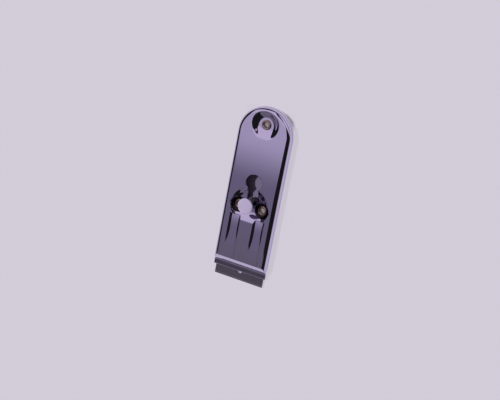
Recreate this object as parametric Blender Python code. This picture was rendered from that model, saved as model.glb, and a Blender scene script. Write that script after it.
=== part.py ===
"""Glass scraper with a retractable blade, modelled piece by piece in metres.

The tool lies flat with +Z up. Its blade points to -Y and its round end to +Y. The origin is on the
underside, at the middle of the box round the whole tool. Places along the tool are written as
stations: distances behind the front edge of the side walls, so that the blade's edge has a negative one.
"""
import math

import bmesh
import bpy
from mathutils import Vector

MM = 0.001

# General clearances and tessellation
CLEARANCE = 0.3 * MM
SIDE_CLEARANCE = 0.7 * MM
OVERRUN = 3.0 * MM
ROUND_SEGMENTS = 40
SMALL_SEGMENTS = 28
END_SEGMENTS = 32
EDGE_STEPS = 5
WALL_STEPS = 5

# Blade, a standard 40 mm scraper blade. It is held behind the front edge of the side walls
BLADE_WIDTH = 40.0 * MM
BLADE_THICKNESS = 0.3 * MM
BLADE_REACH = 15.0 * MM
BLADE_HELD_LENGTH = 7.0 * MM
BLADE_BEVEL = 1.6 * MM
BLADE_HOLE_STATION = -7.8 * MM
BLADE_HOLE_RADIUS = 1.8 * MM

# Housing of two pressed sheets
SHEET = 0.8 * MM
BODY_LENGTH = 121.4 * MM
BODY_HEIGHT = 7.1 * MM
SEAM_HEIGHT = 2.7 * MM
TOP_EDGE_RADIUS = 3.7 * MM
BOTTOM_EDGE_RADIUS = 1.0 * MM

# Nose: the front of the top sheet, stepped down over the blade
NOSE_STEP_TOP_STATION = 1.3 * MM
NOSE_STEP_LENGTH = 3.8 * MM
NOSE_LAND_LENGTH = 5.2 * MM
TONGUE_SETBACK = 0.7 * MM

# Round dish with the rear rivet
DISH_STATION = 108.3 * MM
DISH_RADIUS = 11.5 * MM
DISH_WALL = 6.2 * MM
DISH_DEPTH = 2.7 * MM

# Round recess with the slot and the two front rivets
RECESS_STATION = 44.6 * MM
RECESS_RADIUS = 15.5 * MM
RECESS_WALL = 4.0 * MM
RAMP_STATION = 33.8 * MM
RAMP_LENGTH = 3.8 * MM

# Two shallow channels that run forward from the recess and fade out
CHANNEL_INNER = 5.3 * MM
CHANNEL_OUTER = 14.2 * MM
CHANNEL_DEPTH = 1.3 * MM
CHANNEL_WALL = 0.6 * MM
CHANNEL_START_STATION = 2.4 * MM
CHANNEL_RAMP_LENGTH = 2.6 * MM

# Keyhole slot
SLOT_WIDTH = 8.3 * MM
OPENING_RADIUS = 6.5 * MM

# Hollow rivets and the dimples that they sit in
RIVET_SPACING = 19.0 * MM
RIVET_STATION = 44.2 * MM
RIVET_FLANGE_RADIUS = 3.7 * MM
RIVET_FLANGE_THICKNESS = 0.6 * MM
RIVET_TUBE_RADIUS = 2.5 * MM
RIVET_BORE_RADIUS = 2.0 * MM
DIMPLE_DEPTH = 1.0 * MM
DIMPLE_WALL = 1.4 * MM
DIMPLE_LEAN = 0.5 * MM
BOSS_LEAN = 0.7 * MM
REAR_BOSS_RADIUS = 7.0 * MM
REAR_BOSS_LEAN = 2.0 * MM

# Blade carrier and the studs that hold the blade
CARRIER_THICKNESS = 0.8 * MM
CARRIER_LENGTH = 21.5 * MM
CARRIER_STEP_LENGTH = 1.0 * MM
STUD_SPACING_SHARE = 0.6
STUD_INSET = 3.5 * MM
STUD_RADIUS = 1.5 * MM
STUD_HEAD_RADIUS = 2.6 * MM
STUD_HEAD_HEIGHT = 0.6 * MM

# Leaf spring and its rivets
SPRING_THICKNESS = 0.3 * MM
SPRING_WIDTH = 7.0 * MM
SPRING_TAIL = 3.6 * MM
SPRING_RIVET_SHARES = (0.19, 0.65)
SPRING_RIVET_RADIUS = 1.0 * MM
SPRING_RIVET_HEAD_RADIUS = 1.9 * MM
SPRING_RIVET_HEAD_HEIGHT = 0.5 * MM

# Knob: cap, post and the collar that keeps it under the slot
SLIDE_TRAVEL = 16.1 * MM
PRESS_TRAVEL = 1.1 * MM
KNOB_STATION = 47.6 * MM
KNOB_RISE = 8.8 * MM
CAP_RADIUS = 5.9 * MM
CAP_THICKNESS = 1.5 * MM
CAP_EDGE = 0.35 * MM
CAP_HUB_RADIUS = 3.3 * MM
CAP_HUB_HEIGHT = 1.6 * MM
POST_RADIUS = 2.6 * MM
SPIGOT_RADIUS = 1.6 * MM
SPIGOT_LENGTH = 2.1 * MM
NECK_RADIUS = 1.3 * MM
COLLAR_THICKNESS = 0.5 * MM
COLLAR_LIP = 0.35 * MM

# Heights of the stack from the underside up
BLADE_BOTTOM = SHEET + CLEARANCE
BLADE_TOP = BLADE_BOTTOM + BLADE_THICKNESS
CARRIER_HEAD_BOTTOM = BLADE_TOP + CLEARANCE
CARRIER_HEAD_TOP = CARRIER_HEAD_BOTTOM + CARRIER_THICKNESS
CARRIER_TAIL_BOTTOM = SHEET + CLEARANCE
CARRIER_TAIL_TOP = CARRIER_TAIL_BOTTOM + CARRIER_THICKNESS
SPRING_BOTTOM = SHEET + CLEARANCE + PRESS_TRAVEL
SPRING_TOP = SPRING_BOTTOM + SPRING_THICKNESS
COLLAR_BOTTOM = SPRING_TOP + CLEARANCE
COLLAR_TOP = COLLAR_BOTTOM + COLLAR_THICKNESS
RECESS_FLOOR = COLLAR_TOP + CLEARANCE + SHEET
RECESS_DEPTH = BODY_HEIGHT - RECESS_FLOOR
DIMPLE_FLOOR = RECESS_FLOOR - DIMPLE_DEPTH
DISH_FLOOR = BODY_HEIGHT - DISH_DEPTH
NOSE_UNDERSIDE = BLADE_TOP + CLEARANCE
NOSE_TOP = NOSE_UNDERSIDE + SHEET
KNOB_TOP = BODY_HEIGHT + KNOB_RISE

# Widths and stations that follow
INNER_HALF_WIDTH = BLADE_WIDTH / 2 + SIDE_CLEARANCE
HALF_WIDTH = INNER_HALF_WIDTH + SHEET
NOSE_FOOT_STATION = NOSE_STEP_TOP_STATION - NOSE_STEP_LENGTH
NOSE_END_STATION = NOSE_FOOT_STATION - NOSE_LAND_LENGTH
DIMPLE_FLOOR_RADIUS = RIVET_FLANGE_RADIUS + CLEARANCE
RIVET_HOLE_RADIUS = RIVET_TUBE_RADIUS + CLEARANCE
OPENING_STATION = KNOB_STATION + SLIDE_TRAVEL
STUD_STATION = BLADE_HELD_LENGTH - STUD_INSET
STUD_SPACING = BLADE_WIDTH * STUD_SPACING_SHARE
CARRIER_STEP_STATION = BLADE_HELD_LENGTH + CLEARANCE
SPRING_START_STATION = CARRIER_STEP_STATION + CARRIER_STEP_LENGTH + CLEARANCE
SPRING_SEAT_LENGTH = CARRIER_LENGTH - SPRING_START_STATION
SPRING_RIVET_STATIONS = [SPRING_START_STATION + share * SPRING_SEAT_LENGTH for share in SPRING_RIVET_SHARES]
COLLAR_RADIUS = SLOT_WIDTH / 2 + COLLAR_LIP
END_STATION = BODY_LENGTH - HALF_WIDTH
MIDDLE_STATION = (BODY_LENGTH - BLADE_REACH) / 2


def along(station):
    """World Y of a station."""
    return station - MIDDLE_STATION


def add_object(name, mesh, color, metallic=1.0, roughness=0.25):
    """Puts a finished mesh into the scene as one named piece with its own material."""
    piece = bpy.data.objects.new(name, mesh)
    bpy.context.scene.collection.objects.link(piece)
    finish = bpy.data.materials.new(name + "_finish")
    finish.use_nodes = True
    shader = finish.node_tree.nodes["Principled BSDF"]
    shader.inputs["Base Color"].default_value = (*color, 1.0)
    shader.inputs["Metallic"].default_value = metallic
    shader.inputs["Roughness"].default_value = roughness
    mesh.materials.append(finish)
    return piece


def add_tool(name, mesh):
    """Puts a mesh that only shapes other pieces into the scene, shown as wire and never rendered."""
    tool = bpy.data.objects.new(name, mesh)
    bpy.context.scene.collection.objects.link(tool)
    tool.hide_render = True
    tool.display_type = "WIRE"
    return tool


def shape(piece, tool, operation="DIFFERENCE"):
    """Adds a Boolean step to a piece."""
    step = piece.modifiers.new(tool.name, "BOOLEAN")
    step.operation = operation
    step.object = tool
    step.solver = "EXACT"


def to_mesh(name, bm, smooth_angle=None):
    """Turns a bmesh into a mesh with outward faces, smooth where the angle is given."""
    bmesh.ops.recalc_face_normals(bm, faces=bm.faces)
    mesh = bpy.data.meshes.new(name)
    bm.to_mesh(mesh)
    bm.free()
    if smooth_angle is not None:
        mesh.shade_smooth()
        mesh.set_sharp_from_angle(angle=smooth_angle)
    return mesh


SMOOTH_ANGLE = math.radians(35)


def loft(name, rings, smooth=False):
    """Closed solid through a list of rings of points, flat at both ends."""
    bm = bmesh.new()
    rows = [[bm.verts.new(point) for point in ring] for ring in rings]
    count = len(rows[0])
    for low, high in zip(rows, rows[1:]):
        for i in range(count):
            j = (i + 1) % count
            bm.faces.new((low[i], low[j], high[j], high[i]))
    bm.faces.new(rows[0])
    bm.faces.new(rows[-1])
    return to_mesh(name, bm, SMOOTH_ANGLE if smooth else None)


def extrude(name, outline, low, high):
    """Prism with a flat outline in X and Y between two heights."""
    return loft(name, [[(x, y, z) for x, y in outline] for z in (low, high)])


def extrude_across(name, outline, half_width):
    """Prism with a side view outline in Y and Z, as wide as twice the half width."""
    return loft(name, [[(x, y, z) for y, z in outline] for x in (-half_width, half_width)])


def hull(name, points):
    """Convex solid round a few corner points."""
    bm = bmesh.new()
    corners = [bm.verts.new(point) for point in points]
    bmesh.ops.convex_hull(bm, input=corners)
    return to_mesh(name, bm)


def circle(x, y, radius, segments, start=0.0, sweep=2 * math.pi):
    """Points round an arc, both ends included unless it is a full circle."""
    full = abs(sweep) >= 2 * math.pi
    count = segments if full else segments + 1
    angles = [start + sweep * i / segments for i in range(count)]
    return [(x + radius * math.cos(a), y + radius * math.sin(a)) for a in angles]


def turn(name, profile, segments=SMALL_SEGMENTS, x=0.0, y=0.0):
    """Solid turned about a vertical axis, with flat ends where the profile starts and stops."""
    rings = [[(px, py, z) for px, py in circle(x, y, radius, segments)] for radius, z in profile]
    return loft(name, rings, smooth=True)


def turn_ring(name, profile, segments=SMALL_SEGMENTS, x=0.0, y=0.0):
    """Hollow solid turned about a vertical axis from a closed profile."""
    bm = bmesh.new()
    rows = []
    for radius, z in profile:
        rows.append([bm.verts.new((px, py, z)) for px, py in circle(x, y, radius, segments)])
    for low, high in zip(rows, rows[1:] + rows[:1]):
        for i in range(segments):
            j = (i + 1) % segments
            bm.faces.new((low[i], low[j], high[j], high[i]))
    return to_mesh(name, bm, SMOOTH_ANGLE)


def join(name, meshes):
    """Several separate solids as one mesh."""
    bm = bmesh.new()
    for mesh in meshes:
        bm.from_mesh(mesh)
        bpy.data.meshes.remove(mesh)
    return to_mesh(name, bm, SMOOTH_ANGLE)


def body_outline(inset, front_station):
    """Plan of the housing, straight at the front and half round at the rear, drawn in by an inset."""
    half = HALF_WIDTH - inset
    front = along(front_station)
    arc = circle(0.0, along(END_STATION), half, END_SEGMENTS, 0.0, math.pi)
    return [(-half, front), (half, front)] + arc


def body_block(name, inset, front_station, bottom, top, edge_radius, rounded_top=True):
    """Solid of the housing's plan with its top or bottom edge rounded."""
    steps = [math.pi / 2 * i / EDGE_STEPS for i in range(EDGE_STEPS + 1)]
    rounded = [(edge_radius * (1 - math.cos(a)), edge_radius * (1 - math.sin(a))) for a in steps]
    if rounded_top:
        levels = [(0.0, bottom)] + [(shift, top - drop) for shift, drop in rounded]
    else:
        levels = [(shift, bottom + drop) for shift, drop in reversed(rounded)] + [(0.0, top)]
    outlines = [(body_outline(inset + shift, front_station), z) for shift, z in levels]
    return loft(name, [[(x, y, z) for x, y in outline] for outline, z in outlines], smooth=True)


def pressed_wall(radius, wall, depth, rim_height, offset):
    """Profile of a pressed round wall, an even S from its floor up to its rim, as radius and height.

    The offset moves the profile out along its own normal, which gives the sheet's other side.
    """
    points = []
    for i in range(WALL_STEPS + 1):
        share = i / WALL_STEPS
        height = rim_height - depth * (1 + math.cos(math.pi * share)) / 2
        slope = depth / wall * math.pi / 2 * math.sin(math.pi * share)
        length = math.hypot(1.0, slope)
        points.append((radius - wall * (1 - share) + offset * slope / length, height - offset / length))
    return points


def cup_tool(name, station, radius, wall, depth, offset):
    """Cutter for a round pressed form in the top sheet."""
    profile = pressed_wall(radius, wall, depth, BODY_HEIGHT, offset)
    profile.append((profile[-1][0], BODY_HEIGHT + OVERRUN))
    return add_tool(name, turn(name, profile, ROUND_SEGMENTS, 0.0, along(station)))


def dimple_tool(name, side, offset):
    """Cutter for the dimple of one front rivet. It gets steeper above the floor of the recess."""
    floor = DIMPLE_FLOOR_RADIUS
    lean = DIMPLE_WALL / DIMPLE_DEPTH
    grow = offset * (math.hypot(1.0, lean) - lean)
    top = floor + DIMPLE_WALL + DIMPLE_LEAN
    profile = [
        (floor + grow, DIMPLE_FLOOR - offset),
        (floor + DIMPLE_WALL + grow, RECESS_FLOOR - offset),
        (top + offset, BODY_HEIGHT + OVERRUN),
    ]
    x = side * RIVET_SPACING / 2
    return add_tool(name, turn(name, profile, ROUND_SEGMENTS, x, along(RIVET_STATION)))


def channel_tool(name, side, offset):
    """Cutter for one channel: deep at the recess, flush at the front, with leaning side walls."""
    lean = CHANNEL_WALL / CHANNEL_DEPTH
    grow = offset * (math.hypot(1.0, lean) - lean)
    inner, outer = CHANNEL_INNER - grow, CHANNEL_OUTER + grow
    level = BODY_HEIGHT - offset
    deep = along(RAMP_STATION + CHANNEL_RAMP_LENGTH)
    start = along(CHANNEL_START_STATION)
    points = []
    for x in (inner, outer):
        points += [(side * x, y, z) for y in (start, deep) for z in (level, level + OVERRUN)]
    for x in (inner + CHANNEL_WALL, outer - CHANNEL_WALL):
        points.append((side * x, deep, level - CHANNEL_DEPTH))
    return add_tool(name, hull(name, points))


def ramp_limit(name, offset):
    """Keeps the recess behind its straight front ramp."""
    run = math.hypot(RAMP_LENGTH, RECESS_DEPTH)
    shift = offset * (run - RAMP_LENGTH) / RECESS_DEPTH
    slope = RAMP_LENGTH / RECESS_DEPTH
    top_y = along(RAMP_STATION) - shift
    low, high = RECESS_FLOOR - offset - OVERRUN, BODY_HEIGHT - offset + OVERRUN
    level = BODY_HEIGHT - offset
    rear = along(RECESS_STATION + RECESS_RADIUS + OVERRUN)
    outline = [
        (top_y + (level - low) * slope, low),
        (rear, low),
        (rear, high + OVERRUN),
        (top_y - OVERRUN * slope, high + OVERRUN),
        (top_y - OVERRUN * slope, high),
    ]
    return add_tool(name, extrude_across(name, outline, HALF_WIDTH))


def press_forms(piece, label, offset):
    """Cuts the dish, the recess, its dimples and the channels into a block, grown by an offset."""
    shape(piece, cup_tool(label + "_dish", DISH_STATION, DISH_RADIUS, DISH_WALL, DISH_DEPTH, offset))
    recess = cup_tool(label + "_recess", RECESS_STATION, RECESS_RADIUS, RECESS_WALL, RECESS_DEPTH, offset)
    shape(recess, ramp_limit(label + "_ramp", offset), "INTERSECT")
    shape(piece, recess)
    for side, hand in ((-1, "left"), (1, "right")):
        shape(piece, dimple_tool(label + "_dimple_" + hand, side, offset))
        shape(piece, channel_tool(label + "_channel_" + hand, side, offset))


def nose_cut():
    """Cutter for everything above and in front of the nose's step and land."""
    front = along(NOSE_END_STATION - OVERRUN)
    slope = NOSE_STEP_LENGTH / (BODY_HEIGHT - NOSE_TOP)
    outline = [
        (front, NOSE_TOP),
        (along(NOSE_FOOT_STATION), NOSE_TOP),
        (along(NOSE_STEP_TOP_STATION) + OVERRUN * slope, BODY_HEIGHT + OVERRUN),
        (front, BODY_HEIGHT + OVERRUN),
    ]
    return add_tool("nose_cut", extrude_across("nose_cut", outline, HALF_WIDTH + OVERRUN))


def under_nose_outline(front, rear):
    """Side view of the room under the nose's sheet, between two world places along Y."""
    rise = BODY_HEIGHT - NOSE_TOP
    slope = NOSE_STEP_LENGTH / rise
    run = math.hypot(NOSE_STEP_LENGTH, rise)
    foot = along(NOSE_FOOT_STATION) + SHEET * (run - NOSE_STEP_LENGTH) / rise
    ceiling = NOSE_UNDERSIDE + (rear - foot) / slope
    return [
        (front, -OVERRUN),
        (rear, -OVERRUN),
        (rear, ceiling),
        (foot, NOSE_UNDERSIDE),
        (front, NOSE_UNDERSIDE),
    ]


def make_top_cover():
    """Pressed top sheet: a block with its forms, less the same block one sheet further in."""
    block = body_block("top_cover", 0.0, NOSE_END_STATION, NOSE_UNDERSIDE, BODY_HEIGHT, TOP_EDGE_RADIUS)
    cover = add_object("top_cover", block, (0.62, 0.60, 0.68), roughness=0.12)
    press_forms(cover, "outer", 0.0)

    inside_block = body_block("inside", SHEET, NOSE_END_STATION - OVERRUN, -OVERRUN,
                              BODY_HEIGHT - SHEET, TOP_EDGE_RADIUS - SHEET)
    inside = add_tool("inside", inside_block)
    press_forms(inside, "inner", SHEET)
    reach = along(BODY_LENGTH + OVERRUN)
    behind = under_nose_outline(along(NOSE_END_STATION - OVERRUN), along(NOSE_STEP_TOP_STATION) + OVERRUN)
    behind[1:3] = [(reach, -OVERRUN), (reach, BODY_HEIGHT + OVERRUN), behind[2]]
    room = add_tool("room_behind_nose", extrude_across("room_behind_nose", behind, HALF_WIDTH + OVERRUN))
    shape(inside, room, "INTERSECT")
    shape(cover, inside)

    mouth_outline = under_nose_outline(along(NOSE_END_STATION - OVERRUN), along(0.0))
    shape(cover, add_tool("mouth", extrude_across("mouth", mouth_outline, HALF_WIDTH + OVERRUN)))
    shape(cover, nose_cut())

    skirt_low = [(along(0.0), -OVERRUN), (reach, -OVERRUN),
                 (reach, SEAM_HEIGHT + CLEARANCE), (along(0.0), SEAM_HEIGHT + CLEARANCE)]
    shape(cover, add_tool("below_seam", extrude_across("below_seam", skirt_low, HALF_WIDTH + OVERRUN)))

    shape(cover, slot_tool())
    for name, x, station in RIVETS:
        hole = turn(name + "_top_hole", [(RIVET_HOLE_RADIUS, 0.0), (RIVET_HOLE_RADIUS, BODY_HEIGHT)],
                    SMALL_SEGMENTS, x, along(station))
        shape(cover, add_tool(name + "_top_hole", hole))


def slot_tool():
    """Cutter for the keyhole: a slot with a round front end and a wider round opening behind."""
    half = SLOT_WIDTH / 2
    front_y = along(KNOB_STATION)
    opening_y = along(OPENING_STATION)
    mouth = math.asin(half / OPENING_RADIUS)
    front_arc = circle(0.0, front_y, half, SMALL_SEGMENTS // 2, math.pi, math.pi)
    rear_arc = circle(0.0, opening_y, OPENING_RADIUS, ROUND_SEGMENTS,
                      mouth - math.pi / 2, 2 * math.pi - 2 * mouth)
    return add_tool("keyhole", extrude("keyhole", front_arc + rear_arc, 0.0, BODY_HEIGHT + OVERRUN))


RIVETS = (
    ("rear_rivet", 0.0, DISH_STATION),
    ("left_rivet", -RIVET_SPACING / 2, RIVET_STATION),
    ("right_rivet", RIVET_SPACING / 2, RIVET_STATION),
)


def boss_sizes(name):
    """Top height, top radius and lean of the base's boss under one rivet."""
    if name == "rear_rivet":
        return DISH_FLOOR - SHEET - CLEARANCE, REAR_BOSS_RADIUS, REAR_BOSS_LEAN
    return DIMPLE_FLOOR - SHEET - CLEARANCE, DIMPLE_FLOOR_RADIUS + BOSS_LEAN, BOSS_LEAN


def make_base_shell():
    """Pressed base: floor, upturned wall, front tongue under the blade and a boss under each rivet."""
    block = body_block("base_shell", 0.0, 0.0, 0.0, SEAM_HEIGHT, BOTTOM_EDGE_RADIUS, rounded_top=False)
    base = add_object("base_shell", block, (0.60, 0.59, 0.64), roughness=0.2)

    end = along(NOSE_END_STATION + TONGUE_SETBACK)
    rear = along(END_STATION)
    half = INNER_HALF_WIDTH
    tongue = [(-half, end), (half, end), (half, rear), (-half, rear)]
    shape(base, add_tool("tongue", extrude("tongue", tongue, 0.0, SHEET)), "UNION")

    room = body_outline(SHEET, NOSE_END_STATION - OVERRUN)
    shape(base, add_tool("base_room", extrude("base_room", room, SHEET, SEAM_HEIGHT + OVERRUN)))

    for name, x, station in RIVETS:
        top, radius, lean = boss_sizes(name)
        y = along(station)
        outer = [(radius + lean, SHEET / 2), (radius + lean, SHEET), (radius, top)]
        shape(base, add_tool(name + "_boss", turn(name + "_boss", outer, ROUND_SEGMENTS, x, y)), "UNION")
        inner_radius = radius - SHEET * 3 / 4
        inner = [(inner_radius + lean, -OVERRUN), (inner_radius + lean, 0.0), (inner_radius, top - SHEET)]
        shape(base, add_tool(name + "_under", turn(name + "_under", inner, ROUND_SEGMENTS, x, y)))
        hole = [(RIVET_HOLE_RADIUS, 0.0), (RIVET_HOLE_RADIUS, BODY_HEIGHT)]
        shape(base, add_tool(name + "_hole", turn(name + "_hole", hole, SMALL_SEGMENTS, x, y)))


def make_rivets():
    """Hollow rivets: a tube with a rounded flange at the top and a rolled one at the bottom."""
    for name, x, station in RIVETS:
        seat = (DISH_FLOOR if name == "rear_rivet" else DIMPLE_FLOOR) + CLEARANCE
        foot = boss_sizes(name)[0] - SHEET - CLEARANCE
        edge = RIVET_FLANGE_THICKNESS / 3
        top = seat + RIVET_FLANGE_THICKNESS
        bottom = foot - RIVET_FLANGE_THICKNESS
        profile = [
            (RIVET_TUBE_RADIUS, seat), (RIVET_FLANGE_RADIUS - edge, seat), (RIVET_FLANGE_RADIUS, seat + edge),
            (RIVET_FLANGE_RADIUS - edge, top - edge / 2), (RIVET_TUBE_RADIUS + edge, top),
            (RIVET_BORE_RADIUS + edge, top - edge / 2), (RIVET_BORE_RADIUS, seat),
            (RIVET_BORE_RADIUS, foot), (RIVET_BORE_RADIUS + edge, bottom + edge / 2),
            (RIVET_TUBE_RADIUS + edge, bottom), (RIVET_FLANGE_RADIUS - edge, bottom + edge / 2),
            (RIVET_FLANGE_RADIUS, foot - edge), (RIVET_FLANGE_RADIUS - edge, foot), (RIVET_TUBE_RADIUS, foot),
        ]
        mesh = turn_ring(name, profile, SMALL_SEGMENTS, x, along(station))
        add_object(name, mesh, (0.45, 0.24, 0.15), roughness=0.35)


def on_axis(name, x, y, z, parent=None):
    """Empty that stands on a joint's axis and carries the pieces that move with it."""
    carrier = bpy.data.objects.new(name, None)
    bpy.context.scene.collection.objects.link(carrier)
    carrier.parent = parent
    carrier.location = Vector((x, y, z)) - (parent.location if parent else Vector())
    return carrier


def hole_tool(name, radius, low, high, x, y):
    """Round cutter between two heights."""
    return turn(name, [(radius, low - OVERRUN), (radius, high + OVERRUN)], SMALL_SEGMENTS, x, y)


def make_blade():
    """Hardened strip with one ground edge, a sight hole near the edge and two holes for the studs."""
    outline = [
        (along(-BLADE_REACH), BLADE_BOTTOM),
        (along(BLADE_HELD_LENGTH), BLADE_BOTTOM),
        (along(BLADE_HELD_LENGTH), BLADE_TOP),
        (along(-BLADE_REACH + BLADE_BEVEL), BLADE_TOP),
    ]
    blade = add_object("blade", extrude_across("blade", outline, BLADE_WIDTH / 2),
                       (0.30, 0.29, 0.32), roughness=0.3)
    places = [(0.0, BLADE_HOLE_STATION, BLADE_HOLE_RADIUS)]
    places += [(side * STUD_SPACING / 2, STUD_STATION, STUD_RADIUS + CLEARANCE) for side in (-1, 1)]
    holes = [hole_tool("hole", r, BLADE_BOTTOM, BLADE_TOP, x, along(s)) for x, s, r in places]
    shape(blade, add_tool("blade_holes", join("blade_holes", holes)))
    return blade


def make_blade_carrier():
    """Plate over the rear of the blade that steps down behind it, to run on the base."""
    step, step_end = along(CARRIER_STEP_STATION), along(CARRIER_STEP_STATION + CARRIER_STEP_LENGTH)
    front, rear = along(0.0), along(CARRIER_LENGTH)
    outline = [
        (front, CARRIER_HEAD_BOTTOM), (step, CARRIER_HEAD_BOTTOM), (step_end, CARRIER_TAIL_BOTTOM),
        (rear, CARRIER_TAIL_BOTTOM), (rear, CARRIER_TAIL_TOP), (step_end, CARRIER_TAIL_TOP),
        (step, CARRIER_HEAD_TOP), (front, CARRIER_HEAD_TOP),
    ]
    carrier = add_object("blade_carrier", extrude_across("blade_carrier", outline, BLADE_WIDTH / 2),
                         (0.42, 0.42, 0.44), roughness=0.35)
    places = [(side * STUD_SPACING / 2, STUD_STATION, STUD_RADIUS) for side in (-1, 1)]
    places += [(0.0, station, SPRING_RIVET_RADIUS) for station in SPRING_RIVET_STATIONS]
    low, high = BLADE_BOTTOM, CARRIER_HEAD_TOP
    holes = [hole_tool("hole", r + CLEARANCE, low, high, x, along(s)) for x, s, r in places]
    shape(carrier, add_tool("carrier_holes", join("carrier_holes", holes)))
    return carrier


def make_pin(name, x, station, radius, foot, seat, head_radius, head_height):
    """Headed pin that stands upright in a hole."""
    chamfer = head_height / 3
    profile = [
        (radius, foot), (radius, seat), (head_radius, seat),
        (head_radius, seat + head_height - chamfer), (head_radius - chamfer, seat + head_height),
    ]
    return add_object(name, turn(name, profile, SMALL_SEGMENTS, x, along(station)), (0.48, 0.47, 0.49))


def make_leaf_spring():
    """Thin strip from the blade carrier back to the knob's post."""
    half = SPRING_WIDTH / 2
    front = along(SPRING_START_STATION)
    end = along(KNOB_STATION + SPRING_TAIL)
    tip = circle(0.0, end - half, half, SMALL_SEGMENTS // 2, 0.0, math.pi)
    outline = [(-half, front), (half, front)] + tip
    spring = add_object("leaf_spring", extrude("leaf_spring", outline, SPRING_BOTTOM, SPRING_TOP),
                        (0.33, 0.33, 0.37), roughness=0.3)
    places = [(station, SPRING_RIVET_RADIUS + CLEARANCE) for station in SPRING_RIVET_STATIONS]
    places.append((KNOB_STATION, NECK_RADIUS + CLEARANCE))
    holes = [hole_tool("hole", r, SPRING_BOTTOM, SPRING_TOP, 0.0, along(s)) for s, r in places]
    shape(spring, add_tool("spring_holes", join("spring_holes", holes)))
    return spring


def make_lock_collar():
    """Flat ring on the post's neck, too wide for the slot, that keeps the knob under the top sheet."""
    bore = NECK_RADIUS + CLEARANCE
    profile = [
        (bore, COLLAR_BOTTOM), (COLLAR_RADIUS, COLLAR_BOTTOM),
        (COLLAR_RADIUS, COLLAR_TOP), (bore, COLLAR_TOP),
    ]
    mesh = turn_ring("lock_collar", profile, ROUND_SEGMENTS, 0.0, along(KNOB_STATION))
    return add_object("lock_collar", mesh, (0.45, 0.45, 0.47))


def make_knob_post():
    """Turned post: spigot for the cap, plain stem and a thin neck, riveted flush into the spring."""
    stem_foot = COLLAR_TOP + CLEARANCE
    stem_top = KNOB_TOP - CAP_THICKNESS - CAP_HUB_HEIGHT - CLEARANCE
    profile = [
        (NECK_RADIUS, SPRING_BOTTOM), (NECK_RADIUS, stem_foot), (POST_RADIUS, stem_foot),
        (POST_RADIUS, stem_top), (SPIGOT_RADIUS, stem_top), (SPIGOT_RADIUS, stem_top + SPIGOT_LENGTH),
    ]
    mesh = turn("knob_post", profile, ROUND_SEGMENTS, 0.0, along(KNOB_STATION))
    return add_object("knob_post", mesh, (0.58, 0.57, 0.60), roughness=0.15)


def make_knob_cap():
    """Flat round cap with a hub below, bored from below for the post's spigot."""
    hub_bottom = KNOB_TOP - CAP_THICKNESS - CAP_HUB_HEIGHT
    bore_top = hub_bottom - CLEARANCE + SPIGOT_LENGTH + CLEARANCE
    bore = SPIGOT_RADIUS + CLEARANCE
    profile = [
        (bore, bore_top), (bore, hub_bottom), (CAP_HUB_RADIUS, hub_bottom),
        (CAP_HUB_RADIUS, KNOB_TOP - CAP_THICKNESS), (CAP_RADIUS - CAP_EDGE, KNOB_TOP - CAP_THICKNESS),
        (CAP_RADIUS, KNOB_TOP - CAP_THICKNESS + CAP_EDGE), (CAP_RADIUS, KNOB_TOP - CAP_EDGE),
        (CAP_RADIUS - CAP_EDGE, KNOB_TOP),
    ]
    mesh = turn("knob_cap", profile, ROUND_SEGMENTS, 0.0, along(KNOB_STATION))
    return add_object("knob_cap", mesh, (0.78, 0.76, 0.82), metallic=0.6, roughness=0.45)


def set_parent(pieces, axis):
    """Makes pieces follow an axis without moving them or their cutters."""
    for piece in pieces:
        tools = [step.object for step in piece.modifiers]
        for item in [piece] + tools:
            item.parent = axis
            item.matrix_parent_inverse = axis.matrix_world.inverted()


def main():
    for item in list(bpy.data.objects):
        bpy.data.objects.remove(item, do_unlink=True)

    make_top_cover()
    make_base_shell()
    make_rivets()

    carriage = [make_blade(), make_blade_carrier(), make_leaf_spring()]
    for side, hand in ((-1, "left"), (1, "right")):
        carriage.append(make_pin("blade_stud_" + hand, side * STUD_SPACING / 2, STUD_STATION, STUD_RADIUS,
                                 BLADE_BOTTOM, CARRIER_HEAD_TOP + CLEARANCE,
                                 STUD_HEAD_RADIUS, STUD_HEAD_HEIGHT))
    for place, station in zip(("front", "rear"), SPRING_RIVET_STATIONS):
        carriage.append(make_pin("spring_rivet_" + place, 0.0, station, SPRING_RIVET_RADIUS,
                                 CARRIER_TAIL_BOTTOM, SPRING_TOP + CLEARANCE,
                                 SPRING_RIVET_HEAD_RADIUS, SPRING_RIVET_HEAD_HEIGHT))
    knob = [make_lock_collar(), make_knob_post(), make_knob_cap()]

    slide_axis = on_axis("slide_axis", 0.0, along(KNOB_STATION), CARRIER_TAIL_BOTTOM)
    press_axis = on_axis("press_axis", 0.0, along(KNOB_STATION), COLLAR_TOP, slide_axis)
    bpy.context.view_layer.update()
    set_parent(carriage, slide_axis)
    set_parent(knob, press_axis)


main()
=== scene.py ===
"""Looks of the glass scraper: its pressed, chromed housing, coppered rivets, blade and knob.

Places along the tool are written as stations, distances behind the front edge of the side walls, as in
the construction. +Z is up, the blade points to -Y and +X is the right side.
"""
import math

import bmesh
import bpy
import numpy as np
from mathutils import Matrix, Vector


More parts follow.
